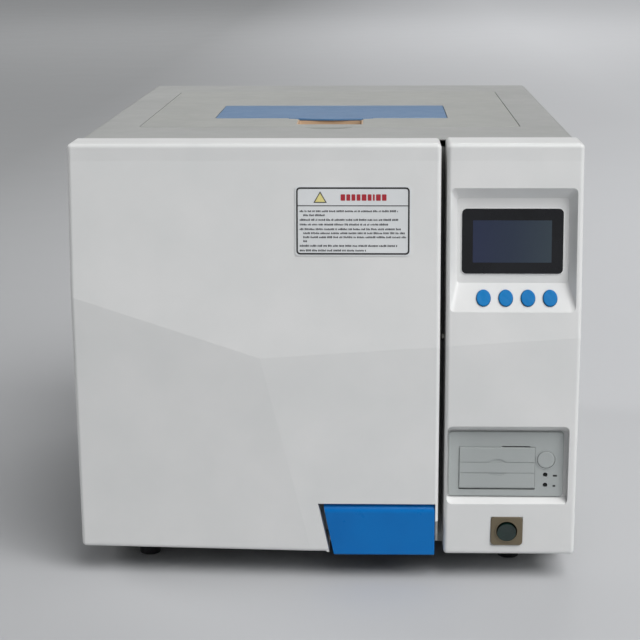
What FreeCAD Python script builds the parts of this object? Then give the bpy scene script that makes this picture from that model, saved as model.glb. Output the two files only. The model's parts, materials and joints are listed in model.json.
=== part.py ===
import FreeCAD, Part

import math
import os

"""Benchtop autoclave. Millimetres, +Z up, the front faces -Y, the origin is under the middle on the bench."""

Vec = FreeCAD.Vector

# Overall size
WIDTH = 485.0
DEPTH = 620.0
HEIGHT = 432.0
BIG = 900.0

# Faceted front: each facet is a plane through three points (x, z, how far it stands out)
CREASE_Z = 416.0
UPPER_SLOPE = 0.073
VERTEX = (-62.0, 228.0, UPPER_SLOPE * (CREASE_Z - 228.0))
LEFT_RIDGE = (-240.0, 286.0, UPPER_SLOPE * (CREASE_Z - 286.0))
RIGHT_RIDGE = (240.0, 249.0, UPPER_SLOPE * (CREASE_Z - 249.0))
LOWER_FOLD = (-27.0, 83.0, 8.0)
CREASE_LEFT = (-240.0, CREASE_Z, 0.0)
CREASE_RIGHT = (240.0, CREASE_Z, 0.0)
FACETS = [(CREASE_LEFT, CREASE_RIGHT, VERTEX),
          (LEFT_RIDGE, VERTEX, LOWER_FOLD),
          (VERTEX, RIGHT_RIDGE, LOWER_FOLD)]
FRONT_Y = -DEPTH / 2 + VERTEX[2]
UPPER_TILT = -math.degrees(math.atan(UPPER_SLOPE))

# Door and fascia
SKIN = 3.0
DOOR_LEFT = -WIDTH / 2
DOOR_RIGHT = 109.5
DOOR_BOTTOM = 29.5
FASCIA_LEFT = 115.0
FASCIA_RIGHT = WIDTH / 2
FASCIA_BOTTOM = 28.0
COVER_BACK = -254.0
LINER_BACK = -249.5
HINGE_X = -234.0
HINGE_Y = -258.0
HINGE_ROUND = 8.5
PIN_R = 3.0
PIN_FIT = 0.06
TAB_Z = (84.0, 361.0)
TAB_H = 7.0
KNUCKLE_Z = (91.4, 337.4)
KNUCKLE_H = 23.2
KNUCKLE_R = 5.3
ARM_Z = (172.0, 220.0)

# Handle and latch
HANDLE_LEFT = -2.3
HANDLE_RIGHT = 106.2
HANDLE_TOP = 78.8
HANDLE_BOTTOM = 26.5
HANDLE_ROUND = 8.4
HANDLE_Z = HANDLE_TOP - 8.6
HANDLE_Y = -294.5
HANDLE_PIN_R = 2.5
CRANK = 18.0
LATCH_X = (99.3, 102.3)
LATCH_Y = (-272.0, -262.0)
LATCH_DROP = 11.2
HOOK_Z = (134.0, 330.0)
HOOK_T = 6.0
LOCK_Z = 240.0
LOCK_Y = -267.0
LOCK_R = 3.0

# Cabinet
CABINET_FRONT = -249.0
SHEET = 2.0
CASE_X = 241.5
CASE_WALL = 1.2
CASE_TOP = 430.5
CASE_BOTTOM = 21.0
CASE_BACK = 288.0
INNER_X = CASE_X - CASE_WALL - 0.1
FOOT_X = 184.0
FOOT_Y = (-232.0, 240.0)
FOOT_H = 20.0
FOOT_R = 11.5

# Chamber
CHAMBER_X = -66.0
CHAMBER_Z = 196.0
CHAMBER_R = 123.5
CHAMBER_WALL = 2.5
CHAMBER_BACK = 116.0
FLANGE_FRONT = -258.0
FLANGE_BACK = -244.0
FLANGE_R = 139.0
PLATE_R = 138.0
PLATE_Y = (-270.0, -259.0)

# Water tank, its cover and the filler flap
LID_X = 195.0
LID_Y = (-156.0, 208.0)
LID_TOP = 431.0
LEDGE_Z = 427.0
FLAP_X = 124.0
FLAP_Y = (-80.0, 40.0)
FLAP_T = 4.5
FLAP_PIN_Y = 36.0
FLAP_PIN_Z = 428.7
SCOOP_X = 33.0
SCOOP_Y = (-134.0, -80.0)
SCOOP_DEPTH = 9.0
GAP = 0.6

# Display pocket in the fascia, in the plane of the upper facet
POCKET_X = (118.3, 237.0)
POCKET_Z = (273.0, 390.5)
POCKET_FLOOR_X = (125.1, 230.2)
POCKET_FLOOR_Z = (299.5, 380.3)
POCKET_DEPTH = 11.0
POCKET_ROUND = 4.5
LENS_X = (129.8, 225.1)
LENS_Z = (308.5, 370.2)
BUTTON_X = [150.2, 171.2, 192.2, 213.0]
BUTTON_W = 13.3
BUTTON_H = 16.1

# Printer in its pocket
PRINTER_X = (119.3, 230.3)
PRINTER_Z = (87.0, 152.0)
PRINTER_POCKET_X = (117.6, 234.4)
PRINTER_POCKET_Z = (80.5, 160.5)
PRINTER_FLOOR_Y = -294.0
PRINTER_FACE_Y = -296.8
PAPER_DOOR_X = (129.7, 202.7)
PAPER_DOOR_Z = (94.6, 136.6)
PAPER_DOOR_Y = (-298.0, -294.6)
PAPER_SLOT_X = (171.0, 198.0)
PAPER_HINGE = (-295.6, 97.0)
PAPER_PIN_R = 1.1
PLATEN = (-288.0, 129.5)
PLATEN_R = 4.5
ROLL = (-268.4, 114.0)
ROLL_R = 16.5
FEED_X = 213.5
FEED_Z = 124.4
FEED_R = 8.4

# Power switch
SWITCH_X = (160.8, 191.8)
SWITCH_Z = (38.4, 67.4)
SWITCH_Y = (-302.9, -300.4)
ROCKER_R = 9.2
ROCKER_ANGLE = 7.0

# Rear
FAN_X = -150.0
FAN_Z = 150.0
FAN_SIZE = 120.0
FAN_Y = (261.0, 286.4)
VALVE_X = 60.0
VALVE_Z = 370.0
FILTER_X = -60.0
FILTER_Z = 350.0
DRAIN_X = 120.0
EXHAUST_X = 170.0
BARB_Z = 62.0
BARB_R = 5.0
INLET_X = -195.0
INLET_Z = 72.0


def box(x0, x1, y0, y1, z0, z1):
    return Part.makeBox(x1 - x0, y1 - y0, z1 - z0, Vec(x0, y0, z0))


def rod_x(x0, x1, y, z, r):
    return Part.makeCylinder(r, x1 - x0, Vec(x0, y, z), Vec(1, 0, 0))


def rod_y(x, y0, y1, z, r):
    return Part.makeCylinder(r, y1 - y0, Vec(x, y0, z), Vec(0, 1, 0))


def rod_z(x, y, z0, z1, r):
    return Part.makeCylinder(r, z1 - z0, Vec(x, y, z0), Vec(0, 0, 1))


def rounded(solid, radius, direction):
    """Fillets the straight edges that run along one direction."""
    edges = []
    for edge in solid.Edges:
        if edge.Curve.TypeId == "Part::GeomLine" and abs(edge.tangentAt(0).dot(direction)) > 0.999:
            edges.append(edge)
    return solid.makeFillet(radius, edges)


def slab_y(x0, x1, y0, y1, z0, z1, radius):
    return rounded(box(x0, x1, y0, y1, z0, z1), radius, Vec(0, 1, 0))


def slab_z(x0, x1, y0, y1, z0, z1, radius):
    return rounded(box(x0, x1, y0, y1, z0, z1), radius, Vec(0, 0, 1))


def slab_x(x0, x1, y0, y1, z0, z1, radius):
    return rounded(box(x0, x1, y0, y1, z0, z1), radius, Vec(1, 0, 0))


def prism_y(points, y0, y1):
    corners = [Vec(x, y0, z) for x, z in points]
    return Part.Face(Part.makePolygon(corners + corners[:1])).extrude(Vec(0, y1 - y0, 0))


def prism_x(points, x0, x1):
    corners = [Vec(x0, y, z) for y, z in points]
    return Part.Face(Part.makePolygon(corners + corners[:1])).extrude(Vec(x1 - x0, 0, 0))


def joined(pieces):
    return pieces[0].fuse(pieces[1:]).removeSplitter()


def tube_y(x, y0, y1, z, outer, inner):
    return rod_y(x, y0, y1, z, outer).cut(rod_y(x, y0 - 1, y1 + 1, z, inner))


def pipe(points, radius, bend):
    """A tube along straight runs joined by tangent arcs."""
    corners = [Vec(*point) for point in points]
    edges = []
    start = corners[0]
    for before, corner, after in zip(corners, corners[1:], corners[2:]):
        way_in = (corner - before).normalize()
        way_out = (after - corner).normalize()
        half = way_in.getAngle(way_out) / 2
        reach = bend * math.tan(half)
        first = corner - way_in * reach
        last = corner + way_out * reach
        inward = (way_out - way_in).normalize()
        middle = corner + inward * (bend / math.cos(half) - bend)
        edges.append(Part.LineSegment(start, first).toShape())
        edges.append(Part.Arc(first, middle, last).toShape())
        start = last
    edges.append(Part.LineSegment(start, corners[-1]).toShape())
    path = Part.Wire(edges)
    ring = Part.makeCircle(radius, corners[0], corners[1] - corners[0])
    return path.makePipeShell([Part.Wire(ring)], True, False)


def facet_plane(points):
    """Returns how far a facet's plane stands out at (x, z)."""
    first, second, third = [Vec(x, out, z) for x, z, out in points]
    normal = (second - first).cross(third - first)
    return lambda x, z: first.y - (normal.x * (x - first.x) + normal.z * (z - first.z)) / normal.y


def front_block(x0, x1, z0, z1, back, inset=0.0):
    """A block whose front follows the facets. Inset moves every side but the back inwards."""
    solid = box(x0 + inset, x1 - inset, FRONT_Y - 40, back, z0 + inset, z1 - inset)
    cutters = [box(x0 - 1, x1 + 1, FRONT_Y - BIG, FRONT_Y + inset, CREASE_Z, BIG)]
    for points in FACETS:
        height = facet_plane(points)
        corners = []
        for x, z in ((-BIG, -BIG), (BIG, -BIG), (BIG, CREASE_Z), (-BIG, CREASE_Z)):
            corners.append(Vec(x, FRONT_Y - height(x, z) + inset, z))
        cutters.append(Part.Face(Part.makePolygon(corners + corners[:1])).extrude(Vec(0, -BIG, 0)))
    return solid.cut(cutters)


def soft_rim(solid, x0, x1, z0, z1, back, radius):
    """Rounds the outer edges of a front block, but not those of its back."""
    edges = []
    for edge in solid.Edges:
        middle = edge.CenterOfMass
        at_side = min(abs(middle.x - x0), abs(middle.x - x1), abs(middle.z - z0), abs(middle.z - z1)) < 0.6
        if at_side and abs(middle.y - back) > 0.5:
            edges.append(edge)
    return solid.makeFillet(radius, edges)


def on_upper_facet(shape):
    """Turns a shape drawn on the plane y = FRONT_Y onto the upper facet."""
    turned = shape.copy()
    turned.rotate(Vec(0, FRONT_Y, CREASE_Z), Vec(1, 0, 0), UPPER_TILT)
    return turned


def button_slope():
    """The sloped part of the display pocket: its middle height and its angle."""
    run = POCKET_FLOOR_Z[0] - POCKET_Z[0]
    return run, math.degrees(math.atan(POCKET_DEPTH / run))


def on_button_slope(shape):
    """Turns a shape drawn on the plane y = 0 about z = 0 onto the button slope of the display pocket."""
    run, angle = button_slope()
    turned = shape.copy()
    turned.rotate(Vec(0, 0, 0), Vec(1, 0, 0), -angle)
    turned.translate(Vec(0, FRONT_Y + POCKET_DEPTH * 0.48, POCKET_Z[0] + run * 0.48))
    return on_upper_facet(turned)


def oval(x, width, height, y0, y1):
    half_long = max(width, height) / 2
    half_short = min(width, height) / 2
    curve = Part.Ellipse(Vec(x, y0, half_long), Vec(x + half_short, y0, 0), Vec(x, y0, 0))
    return Part.Face(Part.Wire(curve.toShape())).extrude(Vec(0, y1 - y0, 0))


# ---------------------------------------------------------------- door

def hinge_corner_trim():
    """What the door loses so that its rear left edge turns about the hinge pins."""
    corner = box(DOOR_LEFT - 5, HINGE_X, HINGE_Y, CABINET_FRONT + 5, 0, HEIGHT + 5)
    return corner.cut(rod_z(HINGE_X, HINGE_Y, -1, HEIGHT + 6, HINGE_ROUND))


def hinge_tab_slots(deep_x):
    slots = []
    for z in TAB_Z:
        slots.append(box(DOOR_LEFT - 2, deep_x, HINGE_Y - 11.5, CABINET_FRONT + 2, z - 1.2, z + TAB_H + 1.2))
    return slots


def hook_slots(y0, y1):
    slots = []
    for z in HOOK_Z:
        slots.append(box(97.6, 104.0, y0, y1, z - LATCH_DROP - 1.2, z + HOOK_T + 1.2))
    return slots


def handle_window():
    outline = [(-7.6, 80.2), (106.8, 80.2), (106.8, 62.0), (BIG, 62.0), (BIG, 0),
               (5.4, 0), (3.2, DOOR_BOTTOM)]
    return prism_y(outline, FRONT_Y - 40, COVER_BACK + 0.1)


def door_cover():
    outer = front_block(DOOR_LEFT, DOOR_RIGHT, DOOR_BOTTOM, HEIGHT, COVER_BACK)
    outer = soft_rim(outer, DOOR_LEFT, DOOR_RIGHT, DOOR_BOTTOM, HEIGHT, COVER_BACK, 4.0)
    inner = front_block(DOOR_LEFT, DOOR_RIGHT, DOOR_BOTTOM, HEIGHT, COVER_BACK + 5, SKIN)
    lock_hole = rod_x(DOOR_RIGHT - 6, DOOR_RIGHT + 2, LOCK_Y, LOCK_Z, LOCK_R + 0.8)
    shell = outer.cut([inner, handle_window(), hinge_corner_trim(), lock_hole] + hinge_tab_slots(HINGE_X))
    lip = prism_y([(-10.2, 82.8), (-7.6, 80.2), (3.2, DOOR_BOTTOM), (0.6, DOOR_BOTTOM)], -301.5, -290.2)
    shelf = box(-8, 106.5, -301.5, -290.2, 80.2, 82.8)
    return joined([shell, lip, shelf])


def door_liner():
    plate = slab_y(DOOR_LEFT, DOOR_RIGHT, COVER_BACK, LINER_BACK, DOOR_BOTTOM - 3.2, HEIGHT - 1.5, 6.0)
    rim = slab_y(-238.9, 3.5, -262, COVER_BACK, DOOR_BOTTOM - 3.2, DOOR_BOTTOM, 1.4)
    openings = [hinge_corner_trim()]
    openings.append(rod_y(CHAMBER_X, COVER_BACK - 1, LINER_BACK + 1, CHAMBER_Z, FLANGE_R + 2.5))
    for z in KNUCKLE_Z:
        openings.append(box(HINGE_X - 7, HINGE_X + 6.6, -270, CABINET_FRONT + 1,
                            z - 0.6, z + KNUCKLE_H + 0.6))
    openings += hinge_tab_slots(HINGE_X + 6.6) + hook_slots(COVER_BACK - 1, LINER_BACK + 1)
    return plate.fuse(rim).cut(openings)


def door_arm():
    web = box(-226.5, 92, -290, -277, ARM_Z[0], ARM_Z[1])
    web = web.cut(box(-212, 93, -291, -281, ARM_Z[0] + 4, ARM_Z[1] - 4))
    post = box(-226.5, -215, -290, -262, KNUCKLE_Z[0], KNUCKLE_Z[1] + KNUCKLE_H)
    pieces = [web, post]
    bores = [rod_y(CHAMBER_X, -292, -276, CHAMBER_Z, 6.1)]
    for z in KNUCKLE_Z:
        pieces.append(box(HINGE_X, -220, -264, -255, z, z + KNUCKLE_H))
        pieces.append(rod_z(HINGE_X, HINGE_Y, z, z + KNUCKLE_H, KNUCKLE_R))
        bores.append(rod_z(HINGE_X, HINGE_Y, z - 1, z + KNUCKLE_H + 1, PIN_R + PIN_FIT))
    mounts = []
    for x in (-170, 40):
        for z in (ARM_Z[0] - 6, ARM_Z[1] + 6):
            mounts.append(box(x - 8, x + 8, -281, -277, z - 8, z + 8))
    return joined(pieces + mounts).cut(bores)


def label_plate():
    plate = slab_y(-27.7, 81.2, FRONT_Y - 0.6, FRONT_Y, 326.5, 392.5, 3.0)
    return on_upper_facet(plate)


def handle_bracket():
    pieces = [box(5, 100, -258, COVER_BACK, 56, HANDLE_Z + 1.5)]
    for x in (9.0, 90.0):
        pieces.append(box(x, x + 3, HANDLE_Y, COVER_BACK - 1, HANDLE_Z - 5.2, HANDLE_Z + 1.5))
        pieces.append(rod_x(x, x + 3, HANDLE_Y, HANDLE_Z, 5.2))
    pieces.append(rod_x(8.0, 94.0, HANDLE_Y, HANDLE_Z, HANDLE_PIN_R))
    side = slab_x(107.2, 109.2, -299, COVER_BACK, 41, 61.5, 1.2)
    return Part.makeCompound([joined(pieces), side])


def latch_guides():
    guides = []
    for z in (100.0, 250.0, 362.0):
        block = box(95.5, 106.0, -276, COVER_BACK, z, z + 10)
        slot = box(LATCH_X[0] - 0.4, LATCH_X[1] + 0.4, LATCH_Y[0] - 0.4, LATCH_Y[1] + 0.4, z - 1, z + 11)
        guides.append(block.cut(slot))
    return Part.makeCompound(guides)


def pressure_plate():
    disc = rod_y(CHAMBER_X, PLATE_Y[0], PLATE_Y[1], CHAMBER_Z, PLATE_R)
    disc = disc.makeFillet(2.5, [edge for edge in disc.Edges if edge.Length > 500])
    groove = tube_y(CHAMBER_X, PLATE_Y[1] - 4, PLATE_Y[1] + 1, CHAMBER_Z, 135.5, 127.5)
    dish = Part.makeCone(96, 104, 3.0, Vec(CHAMBER_X, PLATE_Y[1] - 3.0, CHAMBER_Z), Vec(0, 1, 0))
    boss = rod_y(CHAMBER_X, -276.7, PLATE_Y[0] + 1, CHAMBER_Z, 20)
    return disc.cut([groove, dish]).fuse(boss)


def door_gasket():
    ring = tube_y(CHAMBER_X, -262.9, -258.4, CHAMBER_Z, 135.3, 127.7)
    return ring.makeFillet(1.2, [edge for edge in ring.Edges if abs(edge.CenterOfMass.y + 258.4) < 0.2
                                 and edge.Curve.TypeId == "Part::GeomCircle"])


def plate_bolt():
    across = 9.5
    corners = []
    for step in range(6):
        angle = math.radians(60 * step)
        corners.append((CHAMBER_X + across * math.cos(angle), CHAMBER_Z + across * math.sin(angle)))
    head = prism_y(corners, -288.6, -281.4)
    return head.fuse(rod_y(CHAMBER_X, -282, -276.7, CHAMBER_Z, 6.0))


def door_handle():
    outer = front_block(HANDLE_LEFT, HANDLE_RIGHT, HANDLE_BOTTOM, HANDLE_TOP, HANDLE_Y)
    slant = prism_y([(-20, 90), (HANDLE_LEFT - 0.4, 90), (HANDLE_LEFT, HANDLE_TOP), (8.0, HANDLE_BOTTOM),
                     (8.4, 20), (-20, 20)], -330, -270)
    outer = outer.cut(slant)
    top = [edge for edge in outer.Edges if edge.CenterOfMass.z > HANDLE_TOP - 0.1
           and edge.CenterOfMass.y < -300 and edge.Length > 50]
    outer = outer.makeFillet(HANDLE_ROUND, top)
    rim = []
    for edge in outer.Edges:
        middle = edge.CenterOfMass
        if abs(middle.y - HANDLE_Y) < 0.2:
            continue
        if middle.z < HANDLE_BOTTOM + 0.3:
            rim.append(edge)
    outer = outer.makeFillet(1.8, rim)
    inner = front_block(HANDLE_LEFT + 2.4, HANDLE_RIGHT - 2.4, HANDLE_BOTTOM + 2.4, HANDLE_TOP - 2.4, -280)
    inner = inner.cut([box(-20, 120, -330, -300.4, 0, 90), slant.translated(Vec(2.4, 0, 0))])
    corner = box(-20, 120, -330, HANDLE_Y, HANDLE_Z, 90).cut(
        rod_x(-20, 120, HANDLE_Y, HANDLE_Z, HANDLE_ROUND - 2.4))
    body = outer.cut(inner.cut(corner))
    pieces = [body]
    for x in (14.0, 83.0):
        pieces.append(box(x, x + 4, -301.2, HANDLE_Y, HANDLE_Z - 5.2, HANDLE_Z + 5.2))
        pieces.append(rod_x(x, x + 4, HANDLE_Y, HANDLE_Z, 5.2))
    pieces.append(box(95.5, 98.5, -301.2, HANDLE_Y + CRANK, HANDLE_Z - 3.5, HANDLE_Z + 3.5))
    pieces.append(rod_x(95.5, 98.5, HANDLE_Y + CRANK, HANDLE_Z, 3.5))
    pieces.append(rod_x(95.5, 104.0, HANDLE_Y + CRANK, HANDLE_Z, HANDLE_PIN_R))
    thumb = slab_y(84, 99, -298.9, -296, HANDLE_TOP - 2, HANDLE_TOP, 0.7)
    pieces.append(thumb)
    bore = rod_x(12.0, 94.6, HANDLE_Y, HANDLE_Z, HANDLE_PIN_R + PIN_FIT)
    return joined(pieces).cut(bore)


def latch_bar():
    crank_y = HANDLE_Y + CRANK
    pieces = [box(LATCH_X[0], LATCH_X[1], LATCH_Y[0], LATCH_Y[1], 62, 380)]
    pieces.append(slab_x(LATCH_X[0], LATCH_X[1], -289.5, LATCH_Y[1], 60, 82, 2.0))
    for z in HOOK_Z:
        pieces.append(box(98.2, 103.4, LATCH_Y[0], -238, z, z + HOOK_T))
        nose = [(-244.2, z + 1), (-238, z + 1), (-238, z + 10), (-241, z + 13), (-244.2, z + 13)]
        pieces.append(prism_x(nose, 98.2, 103.4))
    lock_hole = rod_x(LATCH_X[0] - 1, LATCH_X[1] + 1, LOCK_Y, LOCK_Z, LOCK_R + 0.6)
    slot = box(LATCH_X[0] - 1, LATCH_X[1] + 1, crank_y - 7.0, crank_y + 3.6, HANDLE_Z - 3.8, HANDLE_Z + 3.8)
    return joined(pieces).cut([slot, lock_hole])


# ---------------------------------------------------------------- cabinet shell

def base_pan():
    pan = box(-INNER_X, INNER_X, CABINET_FRONT + SHEET, CASE_BACK - SHEET, FOOT_H, 40)
    hollow = box(-INNER_X + 1.5, INNER_X - 1.5, CABINET_FRONT + SHEET + 1.5, CASE_BACK - SHEET - 1.5, 22, 45)
    holes = []
    for x in (-FOOT_X, FOOT_X):
        for y in FOOT_Y:
            holes.append(rod_z(x, y, 18, 24, 3.1))
    for row in range(6):
        holes.append(slab_z(-60, 60, -40 + 18 * row, -34 + 18 * row, 18, 24, 2.9))
    return pan.cut([hollow] + holes)


def rubber_feet():
    feet = []
    for x in (-FOOT_X, FOOT_X):
        for y in FOOT_Y:
            foot = Part.makeCone(FOOT_R - 0.8, FOOT_R, FOOT_H, Vec(x, y, 0), Vec(0, 0, 1))
            foot = foot.makeFillet(1.2, [edge for edge in foot.Edges if edge.CenterOfMass.z < 0.1])
            feet.append(foot.fuse(rod_z(x, y, FOOT_H, 25, 3.0)))
    return Part.makeCompound(feet)


def cabinet_cover():
    outer = box(-CASE_X, CASE_X, CABINET_FRONT, CASE_BACK, CASE_BOTTOM, CASE_TOP)
    side = CASE_X - CASE_WALL
    inner = box(-side, side, CABINET_FRONT - 1, CASE_BACK + 1, 0, CASE_TOP - CASE_WALL)

    def top_edges(solid, height):
        return [edge for edge in solid.Edges if edge.Length > 400 and abs(edge.CenterOfMass.z - height) < 0.1
                and abs(edge.CenterOfMass.x) > 200]

    outer = outer.makeFillet(7.0, top_edges(outer, CASE_TOP))
    inner = inner.makeFillet(7.0 - CASE_WALL, top_edges(inner, CASE_TOP - CASE_WALL))
    opening = slab_z(-LID_X - GAP, LID_X + GAP, LID_Y[0] - GAP, LID_Y[1] + GAP, 420, 440, 9.0)
    notch = rod_z(0, LID_Y[0] + 12, 420, 440, 28)
    vents = []
    for step in range(12):
        z = 90 + 12 * step
        vents.append(slab_x(-CASE_X - 5, CASE_X + 5, 130, 240, z, z + 4, 1.9))
    return outer.cut([inner, opening, notch] + vents)


def rear_panel():
    plate = box(-INNER_X, INNER_X, CASE_BACK - SHEET, CASE_BACK, 40.2, CASE_TOP - CASE_WALL - 6.2)
    holes = [rod_y(FAN_X, 280, 292, FAN_Z, 55), rod_y(VALVE_X, 280, 292, VALVE_Z, 10.2),
             rod_y(FILTER_X, 280, 292, FILTER_Z, 12.2), rod_y(DRAIN_X, 280, 292, BARB_Z, 8.2),
             rod_y(EXHAUST_X, 280, 292, BARB_Z, 8.2),
             box(INLET_X - 13.2, INLET_X + 13.2, 280, 292, INLET_Z - 15.2, INLET_Z + 15.2)]
    for column in (40.0, 150.0):
        for row in range(9):
            z = 160 + 14 * row
            holes.append(slab_y(column, column + 70, 280, 292, z, z + 5, 2.4))
    return plate.cut(holes)


def front_frame():
    plate = box(-INNER_X, INNER_X, CABINET_FRONT, CABINET_FRONT + SHEET,
                CASE_BOTTOM, CASE_TOP - CASE_WALL - 6.2)
    holes = [rod_y(CHAMBER_X, -251, -245, CHAMBER_Z, FLANGE_R + 0.5),
             box(121, 229, -251, -245, 88, 151.5), box(SWITCH_X[0] - 2, SWITCH_X[1] + 2, -251, -245, 34, 72),
             box(123, 232, -251, -245, 280, 386)]
    for z in TAB_Z:
        holes.append(box(-240.2, -227.8, -251, -245, z - 0.2, z + TAB_H + 0.2))
    return plate.cut(holes + hook_slots(-251, -245))


def hinge_brackets():
    pieces = []
    for z, knuckle in zip(TAB_Z, KNUCKLE_Z):
        tab = box(-240, -228, HINGE_Y, -240, z, z + TAB_H)
        tip = rod_z(HINGE_X, HINGE_Y, z, z + TAB_H, 6.0)
        leg = box(-240, -212, CABINET_FRONT + SHEET, -243, z - 14, z + TAB_H + 14)
        low = min(z, knuckle + 1)
        high = max(z + TAB_H, knuckle + KNUCKLE_H - 1)
        pin = rod_z(HINGE_X, HINGE_Y, low, high, PIN_R)
        pieces.append(joined([tab, tip, leg, pin]))
    return Part.makeCompound(pieces)


def latch_keepers():
    keepers = []
    for z in HOOK_Z:
        plate = slab_y(90, 111, CABINET_FRONT + SHEET, -244.6, z + HOOK_T + 1.0, z + HOOK_T + 26, 3.0)
        keepers.append(plate)
    return Part.makeCompound(keepers)


def case_screws():
    screws = []
    for x in (-225, -80, 75, 225):
        for z in (50, 410):
            head = Part.makeCone(3.6, 2.6, 1.6, Vec(x, CASE_BACK, z), Vec(0, 1, 0))
            slot = box(x - 2.4, x + 2.4, CASE_BACK + 0.9, CASE_BACK + 2, z - 0.5, z + 0.5)
            screws.append(head.cut([slot, slot.rotated(Vec(x, 0, z), Vec(0, 1, 0), 90)]))
    return Part.makeCompound(screws)


# ---------------------------------------------------------------- control fascia

def rounded_outline(x0, x1, z0, z1, y, radius):
    """A rectangle with round corners on the plane at y."""
    slab = slab_y(x0, x1, y, y + 1, z0, z1, radius)
    return [face for face in slab.Faces if abs(face.CenterOfMass.y - y) < 0.01][0].OuterWire


def display_pocket(grow):
    """The display pocket's hollow, drawn on the plane y = FRONT_Y. Grow makes it larger all round."""
    mouth = rounded_outline(POCKET_X[0] - grow, POCKET_X[1] + grow, POCKET_Z[0] - grow, POCKET_Z[1] + grow,
                            FRONT_Y, POCKET_ROUND + grow)
    floor = rounded_outline(POCKET_FLOOR_X[0] - grow, POCKET_FLOOR_X[1] + grow,
                            POCKET_FLOOR_Z[0] - grow * 0.4, POCKET_FLOOR_Z[1] + grow,
                            FRONT_Y + POCKET_DEPTH + grow, POCKET_ROUND - 1.5 + grow)
    return Part.makeLoft([mouth, floor], True, True)


def pocket_entry():
    """What lies in front of the display pocket's mouth."""
    return slab_y(POCKET_X[0], POCKET_X[1], FRONT_Y - 30, FRONT_Y, POCKET_Z[0], POCKET_Z[1], POCKET_ROUND)


def softened(solid, radius, chosen):
    return solid.makeFillet(radius, [edge for edge in solid.Edges if chosen(edge)])


def control_fascia():
    outer = front_block(FASCIA_LEFT, FASCIA_RIGHT, FASCIA_BOTTOM, HEIGHT, LINER_BACK + 0.5)
    outer = soft_rim(outer, FASCIA_LEFT, FASCIA_RIGHT, FASCIA_BOTTOM, HEIGHT, LINER_BACK + 0.5, 4.0)
    inner = front_block(FASCIA_LEFT, FASCIA_RIGHT, FASCIA_BOTTOM, HEIGHT, LINER_BACK + 5, SKIN)
    display_tub = on_upper_facet(display_pocket(2.0))
    printer_tub = box(PRINTER_POCKET_X[0] - 1.5, PRINTER_POCKET_X[1] + 2.5, -306, PRINTER_FLOOR_Y + 2.5,
                      PRINTER_POCKET_Z[0] - 2.5, PRINTER_POCKET_Z[1] + 2.5)
    hollow = inner.cut([display_tub, printer_tub])
    cuts = [hollow, on_upper_facet(display_pocket(0.0)), on_upper_facet(pocket_entry()), printer_pocket()]
    cuts.append(box(121.5, 228.0, -300, -280, 89.2, 150.0))
    cuts.append(box(SWITCH_X[0] - 0.2, SWITCH_X[1] + 0.2, -330, SWITCH_Y[1],
                    SWITCH_Z[0] - 0.2, SWITCH_Z[1] + 0.2))
    middle_x = sum(SWITCH_X) / 2
    middle_z = sum(SWITCH_Z) / 2
    cuts.append(rod_y(middle_x, -310, -290, middle_z, 11.6))
    for x in BUTTON_X:
        cuts.append(on_button_slope(oval(x, BUTTON_W + 0.8, BUTTON_H + 0.8, -8, 8)))
    cuts.append(rod_x(FASCIA_LEFT - 2, FASCIA_LEFT + 5, LOCK_Y, LOCK_Z, LOCK_R + 0.5))
    return outer.cut(cuts)


def printer_pocket():
    """The hollow around the printer: a rounded mouth that narrows a little to its floor."""
    mouth = slab_y(PRINTER_POCKET_X[0], PRINTER_POCKET_X[1], -330, PRINTER_FLOOR_Y,
                   PRINTER_POCKET_Z[0], PRINTER_POCKET_Z[1], 5.5)
    back = PRINTER_FLOOR_Y + 0.1
    low = PRINTER_POCKET_Z[0] - 1
    high = PRINTER_POCKET_Z[1] + 1
    sill = prism_x([(back, low), (back, PRINTER_Z[0] - 0.4), (-304.5, low)], 100, 260)
    eaves = prism_x([(back, high), (back, PRINTER_Z[1] + 0.6), (-304.5, high)], 100, 260)
    return mouth.cut([sill, eaves])


def display_lens():
    back = FRONT_Y + POCKET_DEPTH
    lens = slab_y(LENS_X[0], LENS_X[1], back - 1.2, back - 0.02, LENS_Z[0], LENS_Z[1], 4.3)
    return on_upper_facet(lens)


def control_board():
    back = FRONT_Y + POCKET_DEPTH + 2.3
    module = box(134, 221, back, back + 8, 310, 368)
    board = on_button_slope(box(128, 228, 15.0, 16.6, -12, 12))
    switches = []
    for x in BUTTON_X:
        switches.append(on_button_slope(box(x - 3, x + 3, 11.4, 15.0, -3, 3)))
    return Part.makeCompound([on_upper_facet(module), board.fuse(switches)])


def menu_button(x):
    cap = oval(x, BUTTON_W, BUTTON_H, -1.9, 2.6)
    front = [edge for edge in cap.Edges if abs(edge.CenterOfMass.y + 1.9) < 0.01]
    cap = cap.makeFillet(0.8, front)
    stem = rod_y(x, 2.0, 9.8, 0, 2.2)
    return on_button_slope(cap.fuse(stem))


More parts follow.
